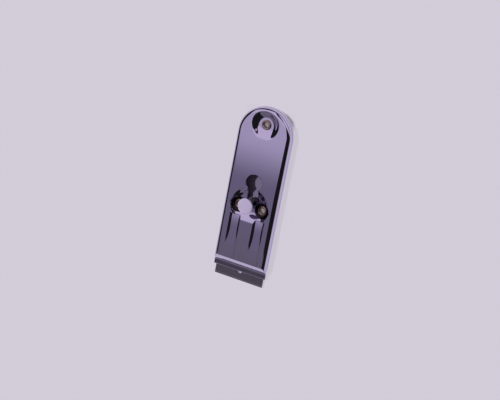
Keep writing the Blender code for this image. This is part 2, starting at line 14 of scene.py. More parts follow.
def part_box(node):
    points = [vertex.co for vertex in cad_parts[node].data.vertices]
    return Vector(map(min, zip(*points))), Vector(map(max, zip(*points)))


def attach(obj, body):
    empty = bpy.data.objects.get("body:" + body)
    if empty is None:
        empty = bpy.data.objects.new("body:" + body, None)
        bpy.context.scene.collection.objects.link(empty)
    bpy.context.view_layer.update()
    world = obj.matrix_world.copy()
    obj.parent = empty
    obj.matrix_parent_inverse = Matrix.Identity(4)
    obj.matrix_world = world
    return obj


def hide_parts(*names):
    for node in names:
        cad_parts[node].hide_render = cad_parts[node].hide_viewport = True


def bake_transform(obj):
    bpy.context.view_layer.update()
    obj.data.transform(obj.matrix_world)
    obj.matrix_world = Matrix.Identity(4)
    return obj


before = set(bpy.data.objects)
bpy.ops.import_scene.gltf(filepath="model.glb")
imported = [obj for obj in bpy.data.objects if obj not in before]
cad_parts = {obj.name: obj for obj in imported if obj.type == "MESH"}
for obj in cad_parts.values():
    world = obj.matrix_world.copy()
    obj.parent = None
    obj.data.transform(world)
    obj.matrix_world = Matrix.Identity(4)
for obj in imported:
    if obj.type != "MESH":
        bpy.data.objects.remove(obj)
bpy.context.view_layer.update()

MM = 0.001


# Room: a pale table, soft light and the view of the photograph, from above the tool's right rear
# The chrome mirrors a card overhead that is bright behind and grey in front, a patch of light at its right
# rear, one far off at the front right, pale bands low down in front and on the right, and a dark room.
CAMERA_PLACE = Vector((0.36201, 0.30011, 0.89556))
CAMERA_AIM = Vector((-0.00347, -0.00513, -0.00016))
CAMERA_UP = Vector((-0.28823897, 0.93613561, -0.20141603))
CAMERA_LENS = 98.28
TABLE_SIZE = 4.0
TABLE_COLOR = (0.655, 0.612, 0.700, 1.0)
TABLE_GLOW, UNDER_TOOL_LOSS = 0.85, 0.55
UNDER_TOOL_X, UNDER_TOOL_Y = (0.021, 0.017), (0.068, 0.064)
PLAIN_LIGHT = (0.2, 0.2, 0.2, 1.0)
LAMP_STRENGTH, LAMP_ANGLE = 3.0, 5
LAMP_SIDE = Vector((-0.62, 0.06, 0.78))
BRIGHT_COLOR = (0.50, 0.462, 0.58, 1.0)
REAR_COLOR = (0.66, 0.61, 0.72, 1.0)
DIM_COLOR = (0.178, 0.162, 0.226, 1.0)
GREY_COLOR = (0.166, 0.155, 0.186, 1.0)
DARK_COLOR = (0.012, 0.012, 0.012, 1.0)
CORNER_COLOR = (0.34, 0.31, 0.40, 1.0)

# Bands round the room by direction: each pair is where a fade starts and where it ends
RIGHT_BAND_X, RIGHT_BAND_Y, RIGHT_BAND_Z = (0.2, 0.45), (0.45, 0.25), (0.17, 0.10)
FRONT_WALL_Y, FRONT_BAND_Z = (-0.35, -0.6), (0.09, 0.04)

# Card in metres: pairs for edges are a slope along Y and a place at Y = 0, and the others are fades
CARD_HEIGHT, CARD_SIDE_LENGTH = 0.45, 4.4
RIGHT_NEAR, RIGHT_MIDDLE, RIGHT_FAR = (1.66, 0.109), (0.6, 0.08), (-1.2, 0.44)
RIGHT_FRONT, RIGHT_FAR_LEAST, RIGHT_BLUR = (-0.36, -0.173), 0.01, 0.008
TAB_BEHIND, TAB_AHEAD, TAB_LENGTH, TAB_START = (-0.19, -0.203), (-0.225, -0.216), 0.48, -0.40
LEFT_EDGE, LEFT_BLUR = -0.44, 0.02
LEFT_BEHIND, LEFT_BEHIND_SLOPE, LEFT_AHEAD, LEFT_AHEAD_SLOPE = 0.1, 0.9, -0.34, -5.0
REAR_EDGE, REAR_TURN, REAR_SLOPE = (0.74, 0.66), -0.32, -1.6
PATCH_X, PATCH_Y = (0.17, 0.25), (0.23, 0.31)
GAP_PLACE, GAP_HALF, GAP_LOSS = -0.240, 0.008, 0.62
GREY_TO_DIM, DIM_TO_BRIGHT, BRIGHT_TO_REAR = (-0.22, -0.165), (-0.137, -0.078), (0.02, 0.12)
CORNER_X, CORNER_Y = (0.95, 1.2), (-0.6, -0.9)


def node(tree, kind, inputs=None, **settings):
    """Adds a shader node. Settings are its properties, and inputs are values or sockets by name."""
    made = tree.nodes.new("ShaderNode" + kind)
    for name, value in settings.items():
        setattr(made, name, value)
    for name, value in (inputs or {}).items():
        if isinstance(value, bpy.types.NodeSocket):
            tree.links.new(value, made.inputs[name])
        else:
            made.inputs[name].default_value = value
    return made


def math_node(tree, operation, *values):
    """Result of one Math node."""
    return node(tree, "Math", dict(enumerate(values)), operation=operation).outputs[0]


def fade(tree, value, start, end):
    """Smooth step from 0 at the start value to 1 at the end value."""
    inputs = {"Value": value, "From Min": start, "From Max": end}
    return node(tree, "MapRange", inputs, interpolation_type="SMOOTHSTEP").outputs["Result"]


def scaled(tree, value, factor, added):
    """Value times a factor, plus another value."""
    return math_node(tree, "MULTIPLY_ADD", value, factor, added)


def minus(tree, value, taken):
    """Value less another value."""
    return math_node(tree, "SUBTRACT", value, taken)


def product(tree, value, *factors):
    """Value times all the factors."""
    for factor in factors:
        value = math_node(tree, "MULTIPLY", value, factor)
    return value


def mix(tree, share, first, second, **settings):
    """Colour between two colours, by the second one's share."""
    inputs = {"Fac": share, "Color1": first, "Color2": second}
    return node(tree, "MixRGB", inputs, **settings).outputs["Color"]


def axes_of(tree, vector):
    """Three parts of a vector."""
    parts = node(tree, "SeparateXYZ", {"Vector": vector}).outputs
    return parts["X"], parts["Y"], parts["Z"]


def object_place(tree):
    """Place on a piece, in the tool's own coordinates."""
    return node(tree, "TexCoord").outputs["Object"]


def new_object(name, data):
    """Links a new object to the scene."""
    made = bpy.data.objects.new(name, data)
    bpy.context.scene.collection.objects.link(made)
    return made


def place_camera():
    """Camera at the photograph's viewing point, turned so that the photograph's up direction is kept."""
    back = (CAMERA_PLACE - CAMERA_AIM).normalized()
    up = (CAMERA_UP - back * CAMERA_UP.dot(back)).normalized()
    camera = new_object("camera", bpy.data.cameras.new("camera"))
    camera.matrix_world = Matrix((up.cross(back), up, back)).transposed().to_4x4()
    camera.location = CAMERA_PLACE
    camera.data.lens = CAMERA_LENS
    camera.data.clip_start = 0.01
    bpy.context.scene.camera = camera


def room_sheet(name, side_length, height, faces_up):
    """Level square sheet of the room that faces up or down, and the node tree of its material."""
    half = side_length / 2
    corners = [(-half, -half), (half, -half), (half, half), (-half, half)]
    if not faces_up:
        corners = [(y, x) for x, y in corners]
    mesh = bpy.data.meshes.new(name)
    mesh.from_pydata([(x, y, height) for x, y in corners], [], [(0, 1, 2, 3)])
    sheet = new_object(name, mesh)
    material = bpy.data.materials.new(name)
    material.use_nodes = True
    mesh.materials.append(material)
    return sheet, material.node_tree


def make_table():
    """Plain pale table top. The camera and the metal see its plain colour, less of it under the tool."""
    table, tree = room_sheet("table", TABLE_SIZE, 0.0, True)
    shader = tree.nodes["Principled BSDF"]
    for label, value in (("Base Color", TABLE_COLOR), ("Roughness", 0.9), ("Specular IOR Level", 0.1)):
        shader.inputs[label].default_value = value
    glow = node(tree, "Emission", {"Color": TABLE_COLOR, "Strength": 1.0})
    path = node(tree, "LightPath").outputs
    mirrored = math_node(tree, "MAXIMUM", path["Is Glossy Ray"], path["Is Transmission Ray"])
    x, y = axes_of(tree, object_place(tree))[:2]
    under = product(tree, fade(tree, math_node(tree, "ABSOLUTE", x), *UNDER_TOOL_X),
                    fade(tree, math_node(tree, "ABSOLUTE", y), *UNDER_TOOL_Y))
    seen = product(tree, path["Is Camera Ray"], scaled(tree, under, -UNDER_TOOL_LOSS, TABLE_GLOW))
    share = math_node(tree, "MAXIMUM", mirrored, seen)
    both = node(tree, "MixShader", {"Fac": share, 1: shader.outputs[0], 2: glow.outputs[0]})
    tree.links.new(both.outputs[0], tree.nodes["Material Output"].inputs["Surface"])


def make_sky():
    """World: an even plain light, and low bright and dark bands that only the metal mirrors."""
    world = bpy.data.worlds.new("studio")
    bpy.context.scene.world = world
    world.use_nodes = True
    tree = world.node_tree
    x, y, z = axes_of(tree, node(tree, "TexCoord").outputs["Generated"])
    right = product(tree, fade(tree, x, *RIGHT_BAND_X), fade(tree, z, *RIGHT_BAND_Z),
                    fade(tree, y, *RIGHT_BAND_Y))
    ahead = fade(tree, y, *FRONT_WALL_Y)
    level = product(tree, ahead, fade(tree, z, *FRONT_BAND_Z))
    bands = mix(tree, math_node(tree, "MAXIMUM", right, level),
                mix(tree, ahead, DARK_COLOR, DIM_COLOR), BRIGHT_COLOR)
    path = node(tree, "LightPath").outputs
    seen = mix(tree, path["Is Camera Ray"], PLAIN_LIGHT, TABLE_COLOR)
    background = tree.nodes["Background"].inputs
    tree.links.new(mix(tree, path["Is Glossy Ray"], seen, bands), background["Color"])
    background["Strength"].default_value = 1.0


def make_card():
    """Ceiling card that only the metal mirrors: bright behind, grey in front and dark beyond its edges.

    The right edge is the innermost of three slanted lines, or in front a line or a tab further out. The
    left edge slants out behind and in again in front, and the rear edge slants back on the right. A darker
    gap crosses the grey part. Beyond the edges are a patch of light at the right rear and one in a corner.
    """
    card, tree = room_sheet("card", CARD_SIDE_LENGTH, CARD_HEIGHT, False)
    tree.nodes.remove(tree.nodes["Principled BSDF"])
    x, y = axes_of(tree, object_place(tree))[:2]

    near, middle = scaled(tree, y, *RIGHT_NEAR), scaled(tree, y, *RIGHT_MIDDLE)
    far = math_node(tree, "MAXIMUM", scaled(tree, y, *RIGHT_FAR), RIGHT_FAR_LEAST)
    edge = math_node(tree, "MINIMUM", math_node(tree, "MINIMUM", near, middle), far)
    edge = math_node(tree, "MAXIMUM", edge, scaled(tree, y, *RIGHT_FRONT))
    tab = product(tree, fade(tree, y, *TAB_BEHIND), fade(tree, y, *TAB_AHEAD))
    edge = math_node(tree, "MAXIMUM", edge, scaled(tree, tab, TAB_LENGTH, TAB_START))
    right = fade(tree, minus(tree, x, edge), RIGHT_BLUR, -RIGHT_BLUR)

    behind = math_node(tree, "MAXIMUM", minus(tree, y, LEFT_BEHIND), 0.0)
    ahead = math_node(tree, "MINIMUM", minus(tree, y, LEFT_AHEAD), 0.0)
    left = scaled(tree, behind, LEFT_BEHIND_SLOPE, minus(tree, x, LEFT_EDGE))
    left = fade(tree, scaled(tree, ahead, LEFT_AHEAD_SLOPE, left), -LEFT_BLUR, LEFT_BLUR)

    aside = math_node(tree, "MAXIMUM", minus(tree, x, REAR_TURN), 0.0)
    rear = fade(tree, scaled(tree, aside, REAR_SLOPE, y), *REAR_EDGE)
    patch = product(tree, fade(tree, x, *PATCH_X), fade(tree, y, *PATCH_Y))
    lit = math_node(tree, "MAXIMUM", product(tree, right, left, rear), patch)
    gap = math_node(tree, "COMPARE", y, GAP_PLACE, GAP_HALF)
    lit = product(tree, lit, scaled(tree, gap, -GAP_LOSS, 1.0))

    dim = mix(tree, fade(tree, y, *GREY_TO_DIM), GREY_COLOR, DIM_COLOR)
    bright = mix(tree, fade(tree, y, *BRIGHT_TO_REAR), BRIGHT_COLOR, REAR_COLOR)
    tone = mix(tree, fade(tree, y, *DIM_TO_BRIGHT), dim, bright)
    corner_light = product(tree, fade(tree, x, *CORNER_X), fade(tree, y, *CORNER_Y))
    dark = mix(tree, corner_light, DARK_COLOR, CORNER_COLOR)
    glow = node(tree, "Emission", {"Color": mix(tree, lit, dark, tone), "Strength": 1.0})
    tree.links.new(glow.outputs[0], tree.nodes["Material Output"].inputs["Surface"])
    card.visible_camera = card.visible_diffuse = False
    card.visible_shadow = card.visible_transmission = False


def make_lamp():
    """One lamp from the left, which the metal doesn't mirror."""
    lamp = bpy.data.lights.new("lamp", "SUN")
    lamp.energy = LAMP_STRENGTH
    lamp.angle = math.radians(LAMP_ANGLE)
    holder = new_object("lamp", lamp)
    holder.rotation_euler = LAMP_SIDE.to_track_quat("Z", "Y").to_euler()
    holder.visible_glossy = False


place_camera()
make_table()
make_sky()
make_card()
make_lamp()
bpy.context.scene.view_settings.view_transform = "Standard"


# Top cover: pressed sheet steel 0.8 mm thick, bright chrome plated, which the rivets hold to the base
# It has a round rear end, a skirt down to the seam, a dish, a recess, two channels and a nose that steps
# down over the blade. Painted shade lies black in the recess round its two rivets.
SHEET = 0.8 * MM
cover_low, cover_high = (Vector(corner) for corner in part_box("top_cover"))
HALF_WIDTH = cover_high.x
BODY_HEIGHT = cover_high.z
NOSE_TOP = cover_low.z + SHEET
BODY_LENGTH = 121.4 * MM
FRONT_Y = cover_high.y - BODY_LENGTH
END_STATION = BODY_LENGTH - HALF_WIDTH
TOP_EDGE_RADIUS = 3.7 * MM
SEAM_TOP, SEAM_ROW = 3.0 * MM, 0.2 * MM

NOSE_END = cover_low.y - FRONT_Y
NOSE_BEND_START = 2.9 * MM
NOSE_BEND_RADIUS = 2.6 * MM
NOSE_FOOT_RADIUS = 0.8 * MM
NOSE_TILT = math.radians(40.5)
NOSE_LIP = 0.5 * MM
NOSE_LIP_SHARE = 0.97
WALL_END_LENGTH = 0.35 * MM

DISH_STATION, DISH_RADIUS, DISH_WALL, DISH_DEPTH = 108.3 * MM, 11.5 * MM, 6.2 * MM, 2.7 * MM
SCOOP_STATION, SCOOP_LENGTH = 97.4 * MM, 7.4 * MM
RECESS_STATION, RECESS_RADIUS, RECESS_WALL, RECESS_DEPTH = 44.6 * MM, 15.5 * MM, 4.6 * MM, 2.7 * MM
RAMP_STATION, RAMP_LENGTH = 33.8 * MM, 6.2 * MM
CHANNEL_INNER, CHANNEL_OUTER = 5.3 * MM, 14.2 * MM
CHANNEL_DEPTH = 1.3 * MM
CHANNEL_WALL = 0.6 * MM
CHANNEL_SLOPE = math.tan(math.radians(13))
CHANNEL_SIDE = 1.1 * MM
CHANNEL_START, CHANNEL_DEEP = 2.4 * MM, 36.4 * MM
DIMPLE_RADIUS, DIMPLE_DEPTH, DIMPLE_WALL, DIMPLE_LEAN = 4.0 * MM, 1.0 * MM, 1.4 * MM, 1.3 * MM
RIVET_X, RIVET_STATION = 9.5 * MM, 44.2 * MM
SLOT_HALF, KNOB_STATION = 4.15 * MM, 47.6 * MM
OPENING_STATION, OPENING_RADIUS = 63.7 * MM, 6.5 * MM
RIVET_HOLE = 2.8 * MM

# Roundings of the pressed forms, at their rims, in their corners and where two of them meet
DISH_CORNER, SCOOP_RIM, RECESS_CORNER, RAMP_RIM = 0.8 * MM, 0.3 * MM, 0.7 * MM, 0.25 * MM
CHANNEL_CORNER, CHANNEL_RIM = 0.3 * MM, 0.12 * MM
DIMPLE_CORNER, DIMPLE_FOOT, DIMPLE_RIM = 0.3 * MM, 0.4 * MM, 0.2 * MM
FORM_CORNER, KEYHOLE_ROUND, KEYHOLE_PROUD, KEYHOLE_FLARE = 0.5 * MM, 0.3 * MM, 0.02 * MM, 0.42 * MM
SLOT_STEPS, OPENING_STEPS, NECK_STEPS, REAR_END_STEPS, EDGE_STEPS = 41, 121, 14, 96, 13
TURNED_STEPS, HOLE_STEPS, RIVET_HOLE_STEPS = 96, 64, 48
RIVETS = (("rear_rivet", 0.0, DISH_STATION), ("left_rivet", -RIVET_X, RIVET_STATION),
          ("right_rivet", RIVET_X, RIVET_STATION))

CHROME = (0.66, 0.595, 0.79, 1.0)
# Painted shade: black painted into the pockets round the two recess rivets, with a ragged fading border,
# low in the recess
POCKET_SHADE_COLOR = (0.006, 0.006, 0.006, 1.0)
POCKET_SHADE_REACH, POCKET_SHADE_FADE, POCKET_SHADE_RAGGED = 6.7 * MM, 0.7 * MM, 0.6 * MM
POCKET_SHADE_TOP, POCKET_SHADE_FULL = 0.3 * MM, 0.8 * MM
SMEAR_FADE, SCRATCH_FADE, SCRATCHED_FADE = (0.45, 0.75), (0.66, 0.74), (0.45, 0.65)
RELIEF_DEPTH = 0.01 * MM
SHEET_MERGE, TURNED_MERGE = 1e-7, 1e-8


def corner(a, b, reach):
    """How far the corner between two depths is rounded off: nothing where either of them is flat."""
    reach = np.clip(2 * np.minimum(a, b), 1e-9, reach)
    return np.clip(1 - np.abs(a - b) / reach, 0, None) ** 2 * reach / 4


def deeper(a, b, reach):
    """Greater of two depths, with a rounded corner between them."""
    return np.maximum(a, b) + corner(a, b, reach)


def shallower(a, b, reach):
    """Smaller of two depths, with a rounded corner between them."""
    return np.minimum(a, b) - corner(a, b, reach)


def below(depth, reach):
    """Depth where it is positive and nothing elsewhere, with a rounded rim."""
    inside = np.clip(depth + reach, 0, 2 * reach)
    return np.where(depth > reach, depth, inside**2 / (4 * reach))


def cup(distance, radius, wall, depth):
    """Depth of a round pressed form: flat, then an even S up to the rim."""
    share = np.clip((distance - radius + wall) / wall, 0, 1)
    return depth * (1 + np.cos(np.pi * share)) / 2


def nose_depth(station):
    """Depth of the nose's step: a wide bend, a straight slope and a tight bend down to the land."""
    land = BODY_HEIGHT - NOSE_TOP
    run = np.clip(NOSE_BEND_START - station, 0, None)
    turn = NOSE_BEND_RADIUS * math.sin(NOSE_TILT)
    bend = NOSE_BEND_RADIUS - np.sqrt(NOSE_BEND_RADIUS**2 - np.minimum(run, turn) ** 2)
    slope = bend + np.clip(run - turn, 0, None) * math.tan(NOSE_TILT)
    left = np.clip(land - slope, 0, None)
    bends = (NOSE_FOOT_RADIUS + NOSE_BEND_RADIUS) * (1 - math.cos(NOSE_TILT))
    foot_run = run - turn - (land - bends) / math.tan(NOSE_TILT)
    reach = NOSE_FOOT_RADIUS * math.sin(NOSE_TILT)
    rest = np.clip(reach - foot_run, 0, reach)
    foot = land - NOSE_FOOT_RADIUS + np.sqrt(NOSE_FOOT_RADIUS**2 - rest**2)
    lip_run = np.clip(NOSE_END + NOSE_LIP - station, 0, NOSE_LIP * NOSE_LIP_SHARE)
    lip = NOSE_LIP - np.sqrt(NOSE_LIP**2 - lip_run**2)
    return np.where(foot_run > 0, foot, land - left) + lip


def channel_wall(inside, share):
    """Depth of a channel's side wall: gentle where the channel starts, and steep at its deep end."""
    steep = CHANNEL_DEPTH / CHANNEL_SIDE
    return inside * (CHANNEL_SLOPE + (steep - CHANNEL_SLOPE) * np.clip(share, 0, 1) ** 4)


def cover_depth(x, station):
    """How far the top of the cover is pressed down: the deepest of its forms at each place."""
    round_dish = cup(np.hypot(x, station - DISH_STATION), DISH_RADIUS, DISH_WALL, DISH_DEPTH)
    scoop = below((station - SCOOP_STATION) * DISH_DEPTH / SCOOP_LENGTH, SCOOP_RIM)
    dish = shallower(round_dish, scoop, DISH_CORNER)

    round_recess = cup(np.hypot(x, station - RECESS_STATION), RECESS_RADIUS, RECESS_WALL, RECESS_DEPTH)
    ramp = below((station - RAMP_STATION) * RECESS_DEPTH / RAMP_LENGTH, RAMP_RIM)
    recess = shallower(round_recess, ramp, RECESS_CORNER)

    off_middle = np.abs(x)
    share = np.clip((station - CHANNEL_START) / (CHANNEL_DEEP - CHANNEL_START), 0, None)
    floor = CHANNEL_DEPTH * share**2
    inner = channel_wall(off_middle - CHANNEL_INNER, share)
    outer = channel_wall(CHANNEL_OUTER - off_middle, share)
    behind = (CHANNEL_DEEP + CHANNEL_WALL - station) * CHANNEL_DEPTH / CHANNEL_WALL
    walls = shallower(shallower(inner, outer, CHANNEL_CORNER), behind, CHANNEL_CORNER)
    channel = below(shallower(floor, walls, CHANNEL_CORNER), CHANNEL_RIM)

    off_rivet = np.hypot(off_middle - RIVET_X, station - RIVET_STATION)
    dimple_floor = RECESS_DEPTH + DIMPLE_DEPTH
    lean = dimple_floor - (off_rivet - DIMPLE_RADIUS) * DIMPLE_DEPTH / DIMPLE_WALL
    lean = shallower(lean, np.full_like(lean, dimple_floor), DIMPLE_CORNER)
    steep = RECESS_DEPTH - (off_rivet - DIMPLE_RADIUS - DIMPLE_WALL) * dimple_floor / DIMPLE_LEAN
    dimple = below(shallower(lean, steep, DIMPLE_FOOT), DIMPLE_RIM)

    depth = deeper(deeper(channel, recess, FORM_CORNER), dimple, DIMPLE_FOOT)
    return deeper(np.maximum(depth, dish), nose_depth(station), FORM_CORNER)


def cover_height(x, station):
    """Top of the cover inside its rounded edge."""
    return BODY_HEIGHT - cover_depth(x, station)


def sheet_underside(height, x, station):
    """Other side of a sheet: the lowest height that a ball as big as the sheet is thick reaches."""
    under = height(x, station) - SHEET
    for tilt in np.radians((22.5, 45.0, 67.5, 85.0)):
        shift, drop = SHEET * math.sin(tilt), SHEET * math.cos(tilt)
        for turn in np.arange(0, 2 * math.pi, math.pi / 6):
            away = height(x + shift * math.cos(turn), station + shift * math.sin(turn))
            under = np.minimum(under, away - drop)
    return under


def spread(start, *stretches):
    """Places along a line from its start: each stretch is its end and the greatest step between places."""
    parts = []
    for end, step in stretches:
        count = max(1, math.ceil(abs(end - start) / step - 1e-6))
        parts.append(np.linspace(start, end, count + 1)[:-1])
        start = end
    return np.append(np.concatenate(parts), start)


def housing_path(stations):
    """Plan of the housing as points and inward directions: left side, round rear end, right side."""
    arc = np.linspace(math.pi, 0, REAR_END_STEPS + 1)[1:-1]
    sides = np.zeros_like(stations)
    points_x = np.r_[sides - HALF_WIDTH, HALF_WIDTH * np.cos(arc), sides + HALF_WIDTH]
    points_s = np.r_[stations, END_STATION + HALF_WIDTH * np.sin(arc), stations[::-1]]
    return points_x, points_s, np.r_[sides + 1, -np.cos(arc), sides - 1], np.r_[sides, -np.sin(arc), sides]


def inside_path(path, insets):
    """Places that lie an inset inside the plan."""
    points_x, points_s, inward_x, inward_s = path
    return points_x + inward_x * insets, points_s + inward_s * insets


def quads(*corners):
    """Four-sided faces from four arrays of point numbers."""
    return np.stack(corners, axis=-1).reshape(-1, 4).tolist()


def solid_mesh(name, points, faces, merge=None):
    """Mesh with all its faces outwards. Points within the merge distance become one."""
    mesh = bpy.data.meshes.new(name)
    mesh.from_pydata(points.reshape(-1, 3).tolist(), [], faces)
    bm = bmesh.new()
    bm.from_mesh(mesh)
    if merge:
        bmesh.ops.remove_doubles(bm, verts=bm.verts, dist=merge)
        bmesh.ops.dissolve_degenerate(bm, edges=bm.edges, dist=merge)
    bmesh.ops.recalc_face_normals(bm, faces=bm.faces)
    bm.to_mesh(mesh)
    bm.free()
    return mesh


def sheet_mesh(name, path, insets, heights):
    """Closed shell from rows of points: each row lies one inset inside the plan, at its height.

    The rows run from the middle of the upper side over the edge to the middle of the lower side. The
    first and last row of the left half meet those of the right half along the middle line.
    """
    x, stations = inside_path(path, insets)
    points = np.stack([x, stations + FRONT_Y, heights], axis=-1)
    index = np.arange(heights.size).reshape(heights.shape)
    faces = quads(index[:-1, :-1], index[:-1, 1:], index[1:, 1:], index[1:, :-1])
    return solid_mesh(name, points, faces + [index[:, 0].tolist(), index[:, -1].tolist()], SHEET_MERGE)


def turned(name, profile, x, station, steps=TURNED_STEPS):
    """Mesh of a closed profile of radius and height points, turned round an upright axis."""
    turns = np.linspace(0, 2 * math.pi, steps, endpoint=False)
    radius, height = (part[:, None] for part in np.array(profile).T)
    points = np.stack([x + radius * np.cos(turns), FRONT_Y + station + radius * np.sin(turns),
                       height + 0 * turns], axis=-1)
    index = np.arange(radius.size * steps).reshape(-1, steps)
    after = np.roll(index, -1, axis=0)
    faces = quads(index, after, np.roll(after, -1, axis=1), np.roll(index, -1, axis=1))
    return solid_mesh(name, points, faces, TURNED_MERGE)


def cut(mesh, cutters):
    """Mesh less its cutters, which are joined into one."""
    bm = bmesh.new()
    for cutter in cutters:
        bm.from_mesh(cutter)
        bpy.data.meshes.remove(cutter)
    tool_mesh = bpy.data.meshes.new("cutter")
    bm.to_mesh(tool_mesh)
    bm.free()
    blank, tool = new_object("blank", mesh), new_object("tool", tool_mesh)
    step = blank.modifiers.new("cut", "BOOLEAN")
    step.solver = "EXACT"
    step.object = tool
    seen = blank.evaluated_get(bpy.context.evaluated_depsgraph_get())
    result = bpy.data.meshes.new_from_object(seen)
    for item in (blank, tool):
        bpy.data.objects.remove(item)
    return result


def loft(name, rings):
    """Closed mesh through rings of points, with a flat face on the first ring and on the last."""
    rings = np.array(rings)
    index = np.arange(rings[..., 0].size).reshape(rings.shape[:2])
    side = np.roll(index, -1, axis=1)
    faces = quads(index[:-1], side[:-1], side[1:], index[1:])
    return solid_mesh(name, rings, faces + [index[0].tolist(), index[-1].tolist()])


def keyhole_outline(grow):
    """Plan of the keyhole, grown by an amount: round front end, straight neck and round opening."""
    half, radius = SLOT_HALF + grow, OPENING_RADIUS + grow
    mouth = math.asin(half / radius)
    front = np.linspace(math.pi, 2 * math.pi, SLOT_STEPS)
    rear = np.linspace(mouth - math.pi / 2, 1.5 * math.pi - mouth, OPENING_STEPS)
    neck = np.linspace(KNOB_STATION, OPENING_STATION - radius * math.cos(mouth), NECK_STEPS)[1:-1]
    x = np.r_[half * np.cos(front), neck * 0 + half, radius * np.cos(rear), neck * 0 - half]
    station = np.r_[KNOB_STATION + half * np.sin(front), neck, OPENING_STATION + radius * np.sin(rear),
                    neck[::-1]]
    return x, station


def keyhole_ring(grow, lift=0.0, height=None):
    """Ring of the keyhole's plan, at a lift from the cover's top or else at one height."""
    x, station = keyhole_outline(grow)
    z = cover_height(x, station) + lift if height is None else np.full_like(x, height)
    return np.stack([x, station + FRONT_Y, z], axis=-1)


def keyhole_cutter():
    """Cutter for the keyhole that follows the cover's height, with a small rounding at the upper edge."""
    rings = [keyhole_ring(0.0, height=0.0), keyhole_ring(0.0, -KEYHOLE_ROUND)]
    for share in (0.25, 0.5, 0.75):
        rings.append(keyhole_ring(KEYHOLE_ROUND * share**2, -KEYHOLE_ROUND * (1 - share)))
    rings.append(keyhole_ring(KEYHOLE_ROUND, KEYHOLE_PROUD))
    rings.append(keyhole_ring(KEYHOLE_FLARE, height=BODY_HEIGHT + SHEET))
    return loft("keyhole", rings)


def round_hole(radius, x, station, steps=HOLE_STEPS):
    """Upright round cutter through the tool."""
    profile = [(0, -MM), (radius, -MM), (radius, BODY_HEIGHT), (0, BODY_HEIGHT)]
    return turned("hole", profile, x, station, steps)


def rivet_holes():
    """Cutters for the three rivets, through either sheet."""
    return [round_hole(RIVET_HOLE, x, station, RIVET_HOLE_STEPS) for name, x, station in RIVETS]


def make_cover_mesh():
    """Cover as one closed shell: top side, rounded edge, skirt and the underside one sheet below.

    The stretches of the mesh are finest over the nose, the walls of the channels, the recess and the dish.
    Ahead of the side walls, the edge and the skirt draw in until only the flat nose is left.
    """
    stations = spread(NOSE_END, (NOSE_END + NOSE_LIP, 0.06 * MM), (-3.8 * MM, 0.5 * MM),
                      (-WALL_END_LENGTH, 0.17 * MM), (0.0, 0.07 * MM), (3.3 * MM, 0.17 * MM),
                      (31.5 * MM, 1.2 * MM), (61.5 * MM, 0.36 * MM), (96.0 * MM, 1.5 * MM),
                      (END_STATION, 0.4 * MM))
    path = housing_path(stations)
    radius, inner = TOP_EDGE_RADIUS, TOP_EDGE_RADIUS - SHEET

    inner_wall, outer_wall = HALF_WIDTH - CHANNEL_INNER, HALF_WIDTH - CHANNEL_OUTER
    middle = spread(HALF_WIDTH, (inner_wall + 0.7 * MM, 0.45 * MM), (inner_wall - 0.8 * MM, 0.1 * MM),
                    (outer_wall + 0.8 * MM, 0.45 * MM), (outer_wall - 0.7 * MM, 0.1 * MM),
                    (radius, 0.42 * MM))[:-1]
    bend = np.linspace(math.pi / 2, 0, EDGE_STEPS)
    skirt = [SEAM_TOP + SEAM_ROW, SEAM_TOP]
    outer_inset = np.r_[middle, radius * (1 - np.cos(bend)), 0.0, 0.0][:, None]
    outer_edge = np.r_[0 * middle + BODY_HEIGHT, BODY_HEIGHT - radius + radius * np.sin(bend),
                       skirt][:, None]
    inner_inset = np.r_[middle[::2], radius - inner * np.cos(bend[::2]), SHEET, SHEET][:, None]
    inner_edge = np.r_[0 * middle[::2] + BODY_HEIGHT - SHEET,
                       BODY_HEIGHT - radius + inner * np.sin(bend[::2]), skirt][:, None]

    depth = cover_depth(*inside_path(path, outer_inset))
    outer_z = BODY_HEIGHT - deeper(BODY_HEIGHT - outer_edge, depth, FORM_CORNER)
    under = sheet_underside(cover_height, *inside_path(path, inner_inset))
    inner_z = np.minimum(inner_edge, under)

    in_front = np.clip(-path[1][None, :] / WALL_END_LENGTH, 0, 1)
    near_edge = in_front * (inner_inset < radius)
    flat_inset = (inner_inset - SHEET) * radius / (radius - SHEET)
    inner_inset = inner_inset + near_edge * (flat_inset - inner_inset)
    inner_z = inner_z + near_edge * (under - inner_z)
    on_skirt = in_front * (outer_edge < BODY_HEIGHT - radius - SEAM_ROW / 2)
    outer_z = outer_z + on_skirt * (under[-1] - outer_z)
    insets = np.r_[outer_inset + 0 * outer_z, inner_inset[::-1]]
    return sheet_mesh("cover", path, insets, np.r_[outer_z, inner_z[::-1]])


def new_group(name, inputs):
    """New node group, its inputs, from their names and first values, and the place on the piece."""
    group = bpy.data.node_groups.new(name, "ShaderNodeTree")
    for label, value in inputs.items():
        kind = "NodeSocketColor" if isinstance(value, tuple) else "NodeSocketFloat"
        group.interface.new_socket(label, in_out="INPUT", socket_type=kind).default_value = value
    return group, group.nodes.new("NodeGroupInput").outputs, object_place(group)


def give_out(group, **results):
    """Gives a group one output for each result: a colour for Color, and else a value."""
    for label in results:
        kind = "NodeSocketColor" if label == "Color" else "NodeSocketFloat"
        group.interface.new_socket(label, in_out="OUTPUT", socket_type=kind)
    outputs = group.nodes.new("NodeGroupOutput").inputs
    for label, value in results.items():
        group.links.new(value, outputs[label])
    return group


def noise(tree, place, scale, detail, **inputs):
    """Value of a noise pattern at a place."""
    inputs = {"Vector": place, "Scale": scale, "Detail": detail, **inputs}
    return node(tree, "TexNoise", inputs).outputs["Fac"]


def drawn(tree, place, scale, turn=0.0):
    """Place turned about Z and squeezed, which draws a pattern out along the axis of the small scale."""
    inputs = {"Vector": place, "Rotation": (0.0, 0.0, turn), "Scale": scale}
    return node(tree, "Mapping", inputs).outputs["Vector"]


def shaded(tree, color, shade):
    """Colour multiplied by a shade."""
    return mix(tree, 1.0, color, shade, blend_type="MULTIPLY")


def span(tree, a, b):
    """Distance from two distances at right angles to each other."""
    return math_node(tree, "SQRT", scaled(tree, a, a, product(tree, b, b)))


